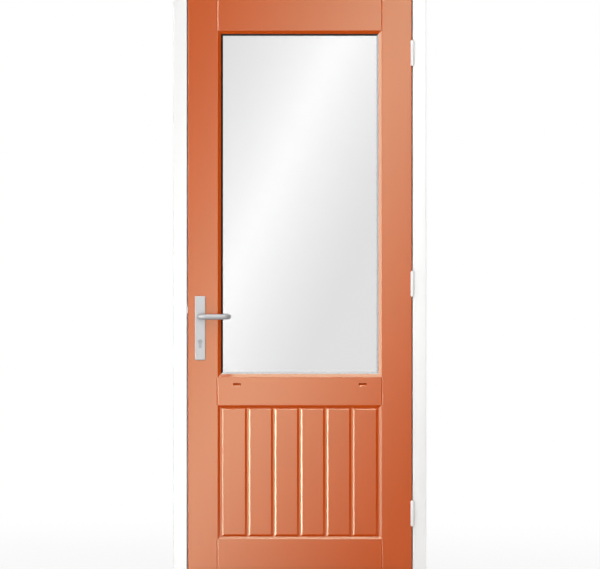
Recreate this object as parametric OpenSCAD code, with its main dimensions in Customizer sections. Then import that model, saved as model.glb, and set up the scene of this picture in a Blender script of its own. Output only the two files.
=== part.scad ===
// A back door: a glazed and panelled timber leaf hung in its frame, with lock, handles and hinges.
// The origin is at floor level, midway between the jambs, in the plane of the outside faces.
// +X points right seen from outside, +Y points indoors and +Z points up.

/* [Leaf] */
// Width of the door leaf
leaf_w = 830; // [780:5:930]
// Height of the door leaf
leaf_h = 2115; // [2015:5:2315]
// Thickness of the door leaf
leaf_t = 54; // [54:1:64]
// Face width of both stiles
stile_w = 110; // [104:1:130]
// Height of the top rail's face
top_rail_h = 115; // [105:1:150]
// Height of the middle rail's face
middle_rail_h = 102; // [98:1:140]
// Height of the bottom rail's face
bottom_rail_h = 113; // [105:1:180]
// Height of the middle rail's underside above the foot of the leaf
middle_rail_z = 611; // [540:1:680]
// Radius along the leaf's outer edges
leaf_edge_r = 3; // [1:0.5:5]
// Half the width of the V joint between stile and rail
joint_v_w = 3; // [1:0.5:4]
// Depth of the V joint between stile and rail
joint_v_d = 1.9; // [1:0.1:4]

/* [Moulded edge] */
// Width of the sloping edge round the glass
moulding_w = 13; // [10:0.5:16]
// Depth of the slope at the glass
moulding_d = 10; // [8:0.5:12]
// Width of the sloping edge round the panel
panel_moulding_w = 10; // [8:0.5:13]
// Depth of the slope at the panel
panel_moulding_d = 7; // [6:0.5:8]
// Radius where the slopes leave the face
arris_r = 3; // [2:0.5:7]

/* [Dowels] */
// Diameter of the dowels in the rail joints
dowel_d = 16; // [12:1:18]
// Length of the dowels
dowel_l = 100; // [80:2:106]
// Distance of each dowel from the middle of its rail
dowel_offset = 24; // [18:1:26]

/* [Glass] */
// Depth of the lip that the glass bears on, from the outside face
glass_lip_t = 15; // [14:0.5:17]
// Depth of the glazing rebate behind the edge of stile and rail
rebate_cut = 5; // [4:0.5:8]
// Room between the edge of the glass and its rebate
glass_clear = 5; // [3:0.5:6]
// Thickness of each pane
pane_t = 4; // [3:0.5:5]
// Width of the space between the panes
cavity_t = 16; // [12:1:18]
// Height of the spacer bar between the panes
spacer_h = 7; // [6:0.5:9]
// Depth of the sealant outside the spacer bar
sealant_w = 5; // [4:0.5:7]
// Thickness of the outside glazing seal
seal_t = 3; // [2:0.5:4]
// Width of the seal's sloping face beside the moulding
seal_nose_w = 7; // [4:0.5:8]
// Height that the seal laps up the edge of the lip
seal_lap = 1.5; // [0:0.5:3]
// Thickness of the glazing tape behind the glass
tape_t = 2; // [1:0.5:3]
// Width of seal and tape under the lip and the beads
tape_w = 10; // [7:0.5:12]
// Width of the rounded edge of the glazing beads
bead_round_w = 8; // [4:0.5:10]
// Length of the two blocks that carry the glass
setting_block_l = 100; // [60:5:140]

/* [Panel] */
// Thickness of the panel between the floors of its grooves
panel_t = 36; // [30:1:36]
// Depth of the slot that holds the panel in stiles and rails
panel_slot_d = 12; // [8:0.5:14]
// Room between the panel's edge and the bottom of its slot
panel_clear = 2; // [1:0.5:4]
// Number of raised fields
field_count = 6; // [4:1:8]
// Height of the raised fields above the groove floors
field_rise = 4.5; // [3:0.5:8]
// Width of the fields' bevelled edges
field_bevel_w = 7; // [2:0.5:9]
// Width of the groove floors between the fields
groove_w = 6.5; // [4:0.5:14]
// Extra width of the two outer fields
outer_field_extra = 3; // [0:0.5:6]
// Width of the floor beside the outer fields
side_floor_w = 5.5; // [4:0.5:14]
// Width of the floor above and below the fields
end_floor_w = 1; // [0.5:0.5:10]

/* [Drain slots] */
// Length of each slot
slot_l = 30; // [20:1:36]
// Height of each slot
slot_h = 5; // [4:0.5:7]
// Distance of each slot's middle from the end of the middle rail
slot_inset = 72; // [70:1:120]
// Distance of the slots below the top of the middle rail
slot_drop = 24; // [24:1:36]
// Fall of the slots towards the outside, in degrees
slot_fall = 35; // [10:1:36]
// Height of the scooped lip below each slot
scoop_h = 5; // [3:0.5:7]
// Fall of the scooped lip, in degrees
scoop_fall = 57; // [50:1:62]
// Diameter of the drain holes from the glazing rebate
drain_d = 8; // [5:0.5:10]
// Depth of the drain holes from the outside face
drain_y = 21; // [19:0.5:24]

/* [Outer frame] */
// Face width of jambs and head
frame_w = 67; // [56:1:80]
// Depth of jambs and head
frame_depth = 114; // [100:1:139]
// Width of the stop that the leaf closes against
stop_w = 17; // [15:0.5:22]
// Gap between the leaf and the frame at the sides and the top
leaf_gap = 3.5; // [3.2:0.1:4.5]
// Gap between the leaf and the stop
stop_gap = 4; // [3:0.5:6]
// Radius along the frame's edges
frame_edge_r = 3; // [1:0.5:5]
// Diameter of the fixing holes in the jambs
fixing_d = 8; // [6:0.5:12]
// Height of the lowest fixing hole
fixing_z = 300; // [200:10:400]
// Distance of the highest fixing hole below the top of the leaf
fixing_drop = 201; // [150:1:300]

/* [Threshold] */
// Height of the threshold's outside edge
sill_front_h = 24; // [18:1:40]
// Rise of the threshold's top towards the stop
sill_fall = 6; // [3:0.5:10]
// Distance that the threshold stands out in front of the frame
sill_nose = 20; // [10:1:40]
// Height of the threshold's stop above the foot of the leaf
sill_stop_lap = 16; // [14:1:20]
// Gap under the leaf
bottom_gap = 6; // [4:0.5:10]
// Diameter of the drip groove under the threshold's edge
drip_d = 6; // [4:0.5:8]

/* [Weather seal] */
// Width of the sealing bulb
bulb_w = 9; // [7:0.5:10]
// Distance of the bulb's middle from the edge of the leaf
bulb_inset = 7; // [6:0.5:8]
// Room between the bulb and the closed leaf
bulb_clear = 0.3; // [0.1:0.1:0.6]
// Thickness of the stem that holds the seal
stem_w = 2.5; // [2:0.1:3]
// Depth of the stem in the stop
stem_d = 7; // [5:0.5:9]

/* [Hinges] */
// Height of the hinges
hinge_h = 89; // [76:1:102]
// Depth of the flaps in the edge of the leaf
flap_l = 38; // [35:1:44]
// Thickness of the flaps
flap_t = 3; // [2.5:0.1:3.5]
// Diameter of the knuckles
knuckle_d = 14; // [12:0.5:16]
// Diameter of the hinge pin
pin_d = 8; // [6:0.5:9]
// Distance of the hinge pin in front of the outside face
pin_out = 10; // [9.5:0.5:12]
// Height of the bottom hinge's middle above the foot of the leaf
bottom_hinge_z = 210; // [180:5:260]
// Height of the middle hinge's middle above the foot of the leaf
middle_hinge_z = 1060; // [950:5:1200]
// Distance of the top hinge's middle below the top of the leaf
top_hinge_drop = 200; // [170:5:260]
// Room between neighbouring knuckles
knuckle_clear = 0.3; // [0.2:0.1:0.6]
// Room between the pin and the knuckles
pin_clear = 0.05; // [0.03:0.01:0.1]

/* [Screws] */
// Shank diameter of the wood screws
screw_d = 4.5; // [4:0.1:5]
// Head diameter of the wood screws
screw_head_d = 9; // [8:0.1:10]
// Length of the hinge screws
hinge_screw_l = 35; // [25:1:40]
// Length of the screws in faceplate and strike plate
plate_screw_l = 30; // [20:1:40]
// Room between a screw and its hole
screw_clear = 0.1; // [0.05:0.05:0.2]

/* [Lock] */
// Distance of the lever and cylinder axes from the lock edge
backset = 46; // [40:1:50]
// Height of the lever axis above the foot of the leaf
lever_z = 938; // [900:1:1050]
// Distance between the lever axis and the cylinder axis
cylinder_drop = 92; // [88:1:96]
// Width of the faceplate
faceplate_w = 20; // [18:0.5:24]
// Height of the faceplate
faceplate_h = 235; // [230:1:260]
// Height of the faceplate's top above the lever axis
faceplate_top = 65; // [62:1:75]
// Thickness of the faceplate
faceplate_t = 3; // [2.5:0.1:4]
// Depth of the lock case behind the faceplate
case_d = 76; // [74:1:84]
// Height of the lock case
case_h = 180; // [176:1:182]
// Height of the case's top above the lever axis
case_top = 45; // [44:0.5:47]
// Thickness of the lock case
case_t = 16; // [15:0.5:17]
// Thickness of the case's sheet steel
case_wall = 1.5; // [1:0.1:1.8]
// Distance that the latch stands out at rest
latch_out = 12; // [10:0.5:13]
// Height of the latch's head
latch_h = 26; // [20:1:28]
// Thickness of latch and bolt
bolt_t = 12; // [10:0.5:12]
// Height of the dead bolt
bolt_h = 25; // [20:1:28]
// Travel of the dead bolt
bolt_throw = 20; // [15:1:20]
// Room round latch and bolt in faceplate and strike plate
bolt_clear = 0.3; // [0.2:0.1:0.5]
// Room between turning lock parts and their seats
turn_clear = 0.08; // [0.03:0.01:0.1]
// Room round fixed lock parts in the timber
timber_clear = 0.4; // [0.2:0.1:0.6]
// Diameter of the follower's hub
hub_d = 20; // [18:0.5:22]
// Length of the follower's arm from its axis
arm_l = 18; // [17:0.5:18]
// Thickness of the strike plate
strike_t = 2; // [1.5:0.1:3]
// Width of the strike plate
strike_w = 24; // [22:0.5:28]
// Depth of the pockets behind the strike plate
strike_pocket_d = 26; // [24:1:32]

/* [Cylinder] */
// Diameter of the cylinder's round part
cylinder_d = 17; // [16.5:0.1:17.5]
// Overall height of the cylinder's section
cylinder_h = 33; // [32:0.5:34]
// Width of the cylinder's lower part
cylinder_w = 10; // [9.5:0.1:10.5]
// Distance that the cylinder stands out of the handle plates
cylinder_out = 1; // [0:0.5:3]
// Diameter of the plugs
plug_d = 13; // [12:0.1:14]
// Width of the keyway
keyway_w = 2; // [1.5:0.1:2.5]
// Height of the keyway
keyway_h = 8.5; // [7:0.1:9]
// Width of the cam
cam_w = 9.6; // [8:0.1:10]
// Reach of the cam from its axis
cam_r = 15.5; // [15:0.1:15.5]
// Diameter of the cylinder screw
cylinder_screw_d = 5; // [4:0.5:5]

/* [Handles] */
// Width of the handle plates
plate_w = 38; // [34:1:44]
// Height of the handle plates
plate_h = 236; // [232:1:250]
// Height of the plates' top above the lever axis
plate_top = 76; // [74:1:80]
// Thickness of the handle plates
plate_t = 9; // [8:0.5:12]
// Width of the plates' bevelled edge
plate_bevel = 1.5; // [0.5:0.1:3]
// Diameter of the lever's bar
lever_d = 20; // [18:0.5:22]
// Reach of the lever from its axis
lever_reach = 113; // [105:1:125]
// Distance of the lever's bar from the face of the leaf
lever_out = 52; // [48:1:60]
// Radius of the lever's bends
bend_r = 20; // [16:1:24]
// Length of the straight end that turns back to the door
return_l = 7; // [4:0.5:10]
// Width of the square spindle
spindle_w = 8; // [7:0.5:9]
// Distance that the spindle enters each lever past the leaf's face
spindle_in = 30; // [25:1:34]
// Distance of the fixing bolts from the plates' ends
plate_bolt_inset = 14; // [12:0.5:15]
// Diameter of the fixing bolts
plate_bolt_d = 5; // [4:0.5:6]
// Diameter of the threaded posts on the outside plate
post_d = 10; // [9:0.5:11]
// Length of the threaded posts
post_l = 24; // [16:1:30]

/* [Hidden] */
$fn = 48;
arc_steps = 6;
cut = 1;

half_w = leaf_w / 2;
mid_y = leaf_t / 2;
edge_x = half_w - stile_w;
leaf_z = sill_front_h + sill_fall + bottom_gap;
leaf_top = leaf_z + leaf_h;
panel_span = [leaf_z + bottom_rail_h, leaf_z + middle_rail_z];
glass_span = [panel_span[1] + middle_rail_h, leaf_top - top_rail_h];
rail_spans = [[leaf_z, panel_span[0]], [panel_span[1], glass_span[0]], [glass_span[1], leaf_top]];
dowel_clear = 0.1;

panel_y = (leaf_t - panel_t) / 2;
glass_y = glass_lip_t + seal_t;
glass_t = 2 * pane_t + cavity_t;
tape_y = glass_y + glass_t;
bead_y = tape_y + tape_t;
bead_step = 2;
glass_out = rebate_cut - glass_clear;
drain_x = edge_x - slot_inset;
slot_z = glass_span[0] - slot_drop;
scoop_t = slot_h - 1;
scoop_z = slot_z - slot_h / 2 / cos(slot_fall) - scoop_h + scoop_t / 2 / cos(scoop_fall);
scoop_y = scoop_h / (tan(scoop_fall) - tan(slot_fall));
scoop_l = (scoop_y - scoop_t / 2 * sin(scoop_fall)) / cos(scoop_fall) + 1;

wall_x = half_w + leaf_gap;
outer_x = wall_x + frame_w - stop_w;
stop_x = wall_x - stop_w;
stop_y = leaf_t + stop_gap;
head_z = leaf_top + leaf_gap;
sill_stop_h = leaf_z + sill_stop_lap;
fixing_y = (stop_y + frame_depth) / 2;
fixing_count = 4;
fixing_pitch = (leaf_top - fixing_drop - fixing_z) / (fixing_count - 1);

pin_x = half_w + leaf_gap / 2;
pin_head_h = 3;
pin_head_d = pin_d + 3;
hinge_heights = [leaf_z + bottom_hinge_z, leaf_z + middle_hinge_z, leaf_top - top_hinge_drop];
knuckle_count = 5;
flap_start_y = knuckle_d / 2 - pin_out + knuckle_clear;
flap_corner_r = 8;
flap_screw_edge = 10;
flap_screws = [for (side = [-1, 1]) each [
    [flap_l / 3, side * (hinge_h / 2 - flap_screw_edge)], [flap_l - flap_screw_edge, side * hinge_h / 6]
]];

axis_x = backset - half_w;
axis_z = leaf_z + lever_z;
cylinder_z = axis_z - cylinder_drop;
case_x = faceplate_t - half_w;
case_y = mid_y - case_t / 2;
case_z = axis_z + case_top - case_h;
faceplate_z = axis_z + faceplate_top - faceplate_h;
faceplate_screw_inset = 9;
latch_z = axis_z + 12;
arm_w = 7;
arm_t = 6;
lug_gap = 0.7;
lug_w = 8;
lug_t = 4;
tail_z = axis_z + arm_l + 4;
tail_h = 8;
bolt_z = cylinder_z + 11;
bolt_end_x = case_x + case_d - case_wall - 2;
notch_w = 28;
notch_top = cylinder_z + cam_r + 1;
strike_margin = 18;
strike_play = 1.5;

plate_z = axis_z + plate_top - plate_h;
plate_bolt_heights = [plate_z + plate_bolt_inset, plate_z + plate_h - plate_bolt_inset];
bolt_head_d = 2 * plate_bolt_d + 1;
socket_w = spindle_w + 0.2;
return_x = axis_x + lever_reach - bend_r - lever_d / 2;
bend_y = bend_r - lever_out;
end_round = 2;
spindle_end = spindle_in + 1;

orange = [0.81, 0.45, 0.29];
white = [0.95, 0.95, 0.94];
steel = [0.72, 0.73, 0.74];
satin = [0.84, 0.84, 0.84];
black = [0.12, 0.12, 0.12];
beech = [0.85, 0.7, 0.5];
stone = [0.35, 0.36, 0.37];

// Shared shapes

module block(low, high) {
    translate(low) cube(high - low);
}

// Prism along X of an outline of [y, z] points
module along_x(outline, x0, x1) {
    translate([x0, 0, 0]) rotate([90, 0, 90]) linear_extrude(x1 - x0) polygon(outline);
}

// Prism along Y of an outline of [x, z] points
module along_y(outline, y0, y1) {
    translate([0, y1, 0]) rotate([90, 0, 0]) linear_extrude(y1 - y0) polygon(outline);
}

// Prism along Z of an outline of [x, y] points
module along_z(outline, z0, z1) {
    translate([0, 0, z0]) linear_extrude(z1 - z0) polygon(outline);
}

module rod_x(d, y, z, x0, x1) {
    translate([x0, y, z]) rotate([0, 90, 0]) cylinder(d = d, h = x1 - x0);
}

module rod_y(d, x, z, y0, y1) {
    translate([x, y1, z]) rotate([90, 0, 0]) cylinder(d = d, h = y1 - y0);
}

module rod_z(d, x, y, z0, z1) {
    translate([x, y, z0]) cylinder(d = d, h = z1 - z0);
}

function unit(v) = v / norm(v);

// Points of the arc that rounds the corner b between a and c
function corner_arc(a, b, c, r) =
    let (u = unit(a - b), v = unit(c - b), half = acos(u * v) / 2)
    let (centre = b + unit(u + v) * r / sin(half), p = b + u * r / tan(half) - centre)
    let (q = b + v * r / tan(half) - centre, from = atan2(p[1], p[0]))
    let (turn = (atan2(q[1], q[0]) - from + 540) % 360 - 180)
    [for (i = [0 : arc_steps]) centre + r * [cos(from + turn * i / arc_steps), sin(from + turn * i / arc_steps)]];

// An outline of [x, y, radius] corners, each rounded by its radius
function rounded(corners) =
    let (n = len(corners), flat = [for (c = corners) [c[0], c[1]]])
    [for (i = [0 : n - 1])
        each corners[i][2] > 0
            ? corner_arc(flat[(i + n - 1) % n], flat[i], flat[(i + 1) % n], corners[i][2])
            : [flat[i]]];

function rounded_rectangle(low, high, r) =
    rounded([[low[0], low[1], r], [high[0], low[1], r], [high[0], high[1], r], [low[0], high[1], r]]);

// Left side of a ring with mitred corners round an opening
// The profile holds [inset, depth] points, inset from the opening's edge towards its middle
module upright_side(profile, span) {
    insets = [for (p = profile) p[0]];
    low = min(insets);
    high = max(insets);
    intersection() {
        along_z([for (p = profile) [p[0] - edge_x, p[1]]], span[0] + low, span[1] - low);
        along_y([
            [low - edge_x, span[0] + low], [high - edge_x, span[0] + high],
            [high - edge_x, span[1] - high], [low - edge_x, span[1] - low]
        ], -cut, leaf_t + cut);
    }
}

// Lower side of the same ring
module level_side(profile, span) {
    insets = [for (p = profile) p[0]];
    low = min(insets);
    high = max(insets);
    intersection() {
        along_x([for (p = profile) [p[1], span[0] + p[0]]], low - edge_x, edge_x - low);
        along_y([
            [low - edge_x, span[0] + low], [edge_x - low, span[0] + low],
            [edge_x - high, span[0] + high], [high - edge_x, span[0] + high]
        ], -cut, leaf_t + cut);
    }
}

module upper_side(profile, span) {
    translate([0, 0, span[0] + span[1]]) mirror([0, 0, 1]) level_side(profile, span);
}

module ring(profile, span) {
    upright_side(profile, span);
    mirror([1, 0, 0]) upright_side(profile, span);
    level_side(profile, span);
    upper_side(profile, span);
}

// Countersunk screw that points down from the middle of its head
module screw(head_d, shank_d, length) {
    rotate_extrude() polygon([
        [0, 0], [head_d / 2, 0], [shank_d / 2, -(head_d - shank_d) / 2], [shank_d / 2, -length], [0, -length]
    ]);
}

module screw_hole(head_d, shank_d, length, clear) {
    translate([0, 0, clear]) screw(head_d + 4 * clear, shank_d + 2 * clear, length + 2 * clear);
}

// Leaf

// Section of a lip: rounded arris and slope from the face to the lip's edge
function lip(w, d, back) =
    let (slope = atan2(d - arris_r, w) + asin(arris_r / norm([w, d - arris_r])))
    concat(
        [for (i = [0 : arc_steps]) arris_r * [sin(slope * i / arc_steps), 1 - cos(slope * i / arc_steps)]],
        [[w, d], [w, back], [0, back]]
    );

glass_lip = lip(moulding_w, moulding_d, glass_lip_t);
panel_lip = lip(panel_moulding_w, panel_moulding_d, panel_y);

function from_inside(profile) = [for (p = profile) [p[0], leaf_t - p[1]]];

module glass_rebate() {
    block(
        [-edge_x - rebate_cut, glass_lip_t, glass_span[0] - rebate_cut],
        [edge_x + rebate_cut, leaf_t + cut, glass_span[1] + rebate_cut]
    );
}

module panel_slot() {
    block(
        [-edge_x - panel_slot_d, panel_y, panel_span[0] - panel_slot_d],
        [edge_x + panel_slot_d, panel_y + panel_t, panel_span[1] + panel_slot_d]
    );
}

module joint_grooves() {
    for (side = [-1, 1], span = rail_spans) {
        x = side * edge_x;
        along_z([[x - joint_v_w, 0], [x - joint_v_w, -cut], [x + joint_v_w, -cut], [x + joint_v_w, 0],
            [x, joint_v_d]], span[0], span[1]);
        along_z([[x - joint_v_w, leaf_t], [x, leaf_t - joint_v_d], [x + joint_v_w, leaf_t],
            [x + joint_v_w, leaf_t + cut], [x - joint_v_w, leaf_t + cut]], span[0], span[1]);
    }
}

module dowels(clear) {
    for (side = [-1, 1], span = rail_spans, way = [-1, 1])
        rod_x(
            dowel_d + 2 * clear, mid_y, (span[0] + span[1]) / 2 + way * dowel_offset,
            side * edge_x - dowel_l / 2 - clear, side * edge_x + dowel_l / 2 + clear
        );
}

module joinery_cuts() {
    glass_rebate();
    panel_slot();
    joint_grooves();
    dowels(dowel_clear);
}

// The stile on the left, before the lock or the hinges are let in
module plain_stile() {
    difference() {
        union() {
            along_z(rounded([
                [-half_w, 0, leaf_edge_r], [-edge_x, 0, 0], [-edge_x, leaf_t, 0], [-half_w, leaf_t, leaf_edge_r]
            ]), leaf_z, leaf_top);
            upright_side(glass_lip, glass_span);
            upright_side(panel_lip, panel_span);
            upright_side(from_inside(panel_lip), panel_span);
        }
        joinery_cuts();
    }
}

module plain_rail(span) {
    block([-edge_x, 0, span[0]], [edge_x, leaf_t, span[1]]);
}

module lock_stile() {
    color(orange) difference() {
        plain_stile();
        faceplate_blank(timber_clear / 2, -half_w - cut, case_x);
        block(
            [case_x - cut, case_y - timber_clear, case_z - timber_clear],
            [case_x + case_d + timber_clear, case_y + case_t + timber_clear, case_z + case_h + timber_clear]
        );
        rod_y(hub_d + 2 * timber_clear, axis_x, axis_z, -cut, leaf_t + cut);
        cylinder_section(timber_clear, -cut, leaf_t + cut);
        for (z = plate_bolt_heights) rod_y(post_d + 2 * timber_clear, axis_x, z, -cut, leaf_t + cut);
        faceplate_screw_places() screw_hole(screw_head_d, screw_d, plate_screw_l, screw_clear);
    }
}

module hinge_stile() {
    color(orange) difference() {
        mirror([1, 0, 0]) plain_stile();
        for (z = hinge_heights) {
            flap_plate(z, -cut, half_w + cut);
            leaf_screw_places(z) screw_hole(screw_head_d, screw_d, hinge_screw_l, screw_clear);
        }
    }
}

module top_rail() {
    color(orange) difference() {
        union() {
            plain_rail(rail_spans[2]);
            upper_side(glass_lip, glass_span);
        }
        joinery_cuts();
    }
}

module middle_rail() {
    color(orange) difference() {
        union() {
            plain_rail(rail_spans[1]);
            level_side(glass_lip, glass_span);
            upper_side(panel_lip, panel_span);
            upper_side(from_inside(panel_lip), panel_span);
        }
        joinery_cuts();
        for (side = [-1, 1]) drain(side * drain_x);
    }
}

module bottom_rail() {
    color(orange) difference() {
        union() {
            plain_rail(rail_spans[0]);
            level_side(panel_lip, panel_span);
            level_side(from_inside(panel_lip), panel_span);
        }
        joinery_cuts();
    }
}

// A round-ended slot that falls to the outside
module slot(x, z, fall, length, height, depth) {
    flat = (length - height) / 2;
    translate([x, 0, z]) rotate([fall, 0, 0]) {
        block([-flat, -2 * height, -height / 2], [flat, depth, height / 2]);
        for (end = [-flat, flat]) rod_y(height, end, 0, -2 * height, depth);
    }
}

// A slot with a scooped lip, fed from the glazing rebate by a drilled hole
module drain(x) {
    slot(x, slot_z, slot_fall, slot_l, slot_h, drain_y / cos(slot_fall));
    slot(x, scoop_z, scoop_fall, slot_l - 2, scoop_t, scoop_l);
    rod_z(drain_d, x, drain_y, slot_z + drain_y * tan(slot_fall) - slot_h / 2, glass_span[0]);
}

module rail_dowels() {
    color(beech) dowels(0);
}

// Panel

// One raised field on the outside, bevelled on its four edges
module raised_field(x0, x1, z0, z1) {
    face_y = panel_y - field_rise;
    root_y = panel_y + cut;
    b = field_bevel_w;
    intersection() {
        along_z([[x0, root_y], [x0, panel_y], [x0 + b, face_y], [x1 - b, face_y], [x1, panel_y], [x1, root_y]], z0, z1);
        along_x([[root_y, z0], [panel_y, z0], [face_y, z0 + b], [face_y, z1 - b], [panel_y, z1], [root_y, z1]], x0, x1);
    }
}

module raised_fields() {
    run = 2 * (edge_x - panel_moulding_w - side_floor_w - outer_field_extra);
    foot_w = (run + groove_w) / field_count - groove_w;
    inset = panel_moulding_w + end_floor_w;
    for (i = [0 : field_count - 1]) {
        x0 = i * (foot_w + groove_w) - run / 2;
        left = i == 0 ? outer_field_extra : 0;
        right = i == field_count - 1 ? outer_field_extra : 0;
        raised_field(x0 - left, x0 + foot_w + right, panel_span[0] + inset, panel_span[1] - inset);
    }
}

module grooved_panel() {
    reach = panel_slot_d - panel_clear;
    color(orange) {
        block(
            [-edge_x - reach, panel_y, panel_span[0] - reach],
            [edge_x + reach, panel_y + panel_t, panel_span[1] + reach]
        );
        raised_fields();
        translate([0, leaf_t, 0]) mirror([0, 1, 0]) raised_fields();
    }
}

// Glass

module pane(y) {
    block(
        [-edge_x - glass_out, y, glass_span[0] - glass_out],
        [edge_x + glass_out, y + pane_t, glass_span[1] + glass_out]
    );
}

// A bar of the given width round the space between the panes, from its inset inwards
module cavity_bar(inset, width) {
    low = inset - glass_out;
    high = low + width;
    back = glass_y + pane_t + cavity_t;
    ring([[low, glass_y + pane_t], [high, glass_y + pane_t], [high, back], [low, back]], glass_span);
}

module outer_pane() {
    color("lightcyan", 0.4) pane(glass_y);
}

module inner_pane() {
    color("lightcyan", 0.4) pane(glass_y + pane_t + cavity_t);
}

module spacer_bar() {
    color(satin) cavity_bar(sealant_w, spacer_h);
}

module edge_sealant() {
    color(black) cavity_bar(0, sealant_w);
}

module glazing_seal() {
    under = moulding_w - tape_w;
    color(black) ring([
        [under, glass_lip_t], [moulding_w, glass_lip_t], [moulding_w, glass_lip_t - seal_lap],
        [moulding_w + seal_nose_w, glass_y], [under, glass_y]
    ], glass_span);
}

module glazing_tape() {
    under = moulding_w - tape_w;
    color(black) ring([[under, tape_y], [moulding_w, tape_y], [moulding_w, bead_y], [under, bead_y]], glass_span);
}

module setting_blocks() {
    for (side = [-1, 1]) {
        x = side * edge_x / 2;
        color(black) block(
            [x - setting_block_l / 2, glass_y, glass_span[0] - rebate_cut],
            [x + setting_block_l / 2, glass_y + glass_t, glass_span[0] - glass_out]
        );
    }
}

// Section of a glazing bead, flush with the inside face and rounded towards the glass
bead = concat(
    [[-rebate_cut, bead_y], [moulding_w, bead_y]],
    [for (i = [0 : arc_steps])
        [
            moulding_w - bead_round_w * (1 - cos(90 * i / arc_steps)),
            bead_y + bead_step + (leaf_t - bead_y - bead_step) * sin(90 * i / arc_steps)
        ]],
    [[-rebate_cut, leaf_t]]
);

module left_bead() {
    color(orange) upright_side(bead, glass_span);
}

module right_bead() {
    color(orange) mirror([1, 0, 0]) upright_side(bead, glass_span);
}

module top_bead() {
    color(orange) upper_side(bead, glass_span);
}

module bottom_bead() {
    color(orange) level_side(bead, glass_span);
}

// Outer frame

// The jamb on the right, before anything is let in
module plain_jamb() {
    difference() {
        along_z(rounded([
            [wall_x, 0, frame_edge_r], [outer_x, 0, frame_edge_r], [outer_x, frame_depth, frame_edge_r],
            [stop_x, frame_depth, frame_edge_r], [stop_x, stop_y, 0], [wall_x, stop_y, 0]
        ]), 0, head_z);
        for (i = [0 : fixing_count - 1])
            rod_x(fixing_d, fixing_y, fixing_z + i * fixing_pitch, stop_x - cut, outer_x + cut);
        jamb_seal();
    }
}

// A bulb on a stem, with its middle at u and the stop's face at stop_y
function seal_section(u) = concat(
    [for (i = [0 : 2 * arc_steps])
        [
            u + bulb_w / 2 * cos(90 * i / arc_steps),
            stop_y - (stop_gap - bulb_clear) * sin(90 * i / arc_steps)
        ]],
    [
        [u - stem_w / 2, stop_y], [u - stem_w / 2, stop_y + stem_d],
        [u + stem_w / 2, stop_y + stem_d], [u + stem_w / 2, stop_y]
    ]
);

function flipped(outline) = [for (p = outline) [p[1], p[0]]];

module jamb_seal() {
    along_z(seal_section(half_w - bulb_inset), leaf_z + end_round, leaf_top - end_round);
}

module lock_jamb() {
    color(white) difference() {
        mirror([1, 0, 0]) plain_jamb();
        strike_blank(-wall_x - strike_t, -wall_x + cut);
        strike_openings(-wall_x - strike_pocket_d, -wall_x);
        strike_screw_places() screw_hole(screw_head_d, screw_d, plate_screw_l, screw_clear);
    }
}

module hinge_jamb() {
    color(white) difference() {
        plain_jamb();
        for (z = hinge_heights) {
            across_pin() flap_plate(z, -cut, half_w + cut);
            across_pin() leaf_screw_places(z) screw_hole(screw_head_d, screw_d, hinge_screw_l, screw_clear);
        }
    }
}

module head() {
    top_z = head_z + frame_w - stop_w;
    color(white) difference() {
        union() {
            along_x(rounded([
                [0, head_z, frame_edge_r], [0, top_z, frame_edge_r],
                [frame_depth, top_z, frame_edge_r], [frame_depth, head_z, 0]
            ]), -outer_x, outer_x);
            along_x(rounded([
                [stop_y, head_z - stop_w, 0], [stop_y, head_z, 0],
                [frame_depth, head_z, 0], [frame_depth, head_z - stop_w, frame_edge_r]
            ]), -stop_x, stop_x);
        }
        head_seal_strip();
    }
}

module head_seal_strip() {
    along_x(flipped(seal_section(leaf_top - bulb_inset)), -stop_x, stop_x);
}

module threshold_seal_strip() {
    along_x(flipped(seal_section(leaf_z + bulb_inset)), -stop_x, stop_x);
}

module threshold() {
    back_h = sill_front_h + sill_fall;
    color(stone) difference() {
        union() {
            along_x(rounded([
                [-sill_nose, 0, 0], [-sill_nose, sill_front_h, frame_edge_r], [stop_y, back_h, 0], [stop_y, 0, 0]
            ]), -wall_x, wall_x);
            along_x(rounded([
                [stop_y, 0, 0], [stop_y, sill_stop_h, 1], [frame_depth, sill_stop_h, frame_edge_r], [frame_depth, 0, 0]
            ]), -stop_x, stop_x);
        }
        rod_x(drip_d, drip_d - sill_nose, 0, -wall_x - cut, wall_x + cut);
        threshold_seal_strip();
    }
}

module lock_side_seal() {
    color(black) mirror([1, 0, 0]) jamb_seal();
}

module hinge_side_seal() {
    color(black) jamb_seal();
}

module head_seal() {
    color(black) head_seal_strip();
}

module threshold_seal() {
    color(black) threshold_seal_strip();
}

// Strike plate

strike_span = [bolt_z - strike_margin, latch_z + latch_h + strike_margin];

module strike_blank(x0, x1) {
    along_x(rounded_rectangle(
        [mid_y - strike_w / 2, strike_span[0]], [mid_y + strike_w / 2, strike_span[1]], 3
    ), x0, x1);
}

module strike_openings(x0, x1) {
    for (span = [[latch_z, latch_h], [bolt_z, bolt_h]])
        block(
            [x0, mid_y - bolt_t / 2 - strike_play, span[0] - strike_play],
            [x1, mid_y + bolt_t / 2 + strike_play, span[0] + span[1] + strike_play]
        );
}

// Screws that point into the lock jamb
module strike_screw_places() {
    middle = (bolt_z + bolt_h + latch_z) / 2;
    for (z = [strike_span[0] + strike_margin / 2, middle, strike_span[1] - strike_margin / 2])
        translate([-wall_x, mid_y, z]) rotate([0, 90, 0]) children();
}

module strike_plate() {
    color(steel) difference() {
        strike_blank(-wall_x - strike_t, -wall_x);
        strike_openings(-wall_x - strike_t - cut, -wall_x + cut);
        strike_screw_places() screw_hole(screw_head_d, screw_d, plate_screw_l, screw_clear);
    }
}

module strike_screws() {
    color(steel) strike_screw_places() screw(screw_head_d, screw_d, plate_screw_l);
}

// Hinges

// Mirrors what is let into the leaf to the frame's side of the hinge pin
module across_pin() {
    translate([2 * pin_x, 0, 0]) mirror([1, 0, 0]) children();
}

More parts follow.
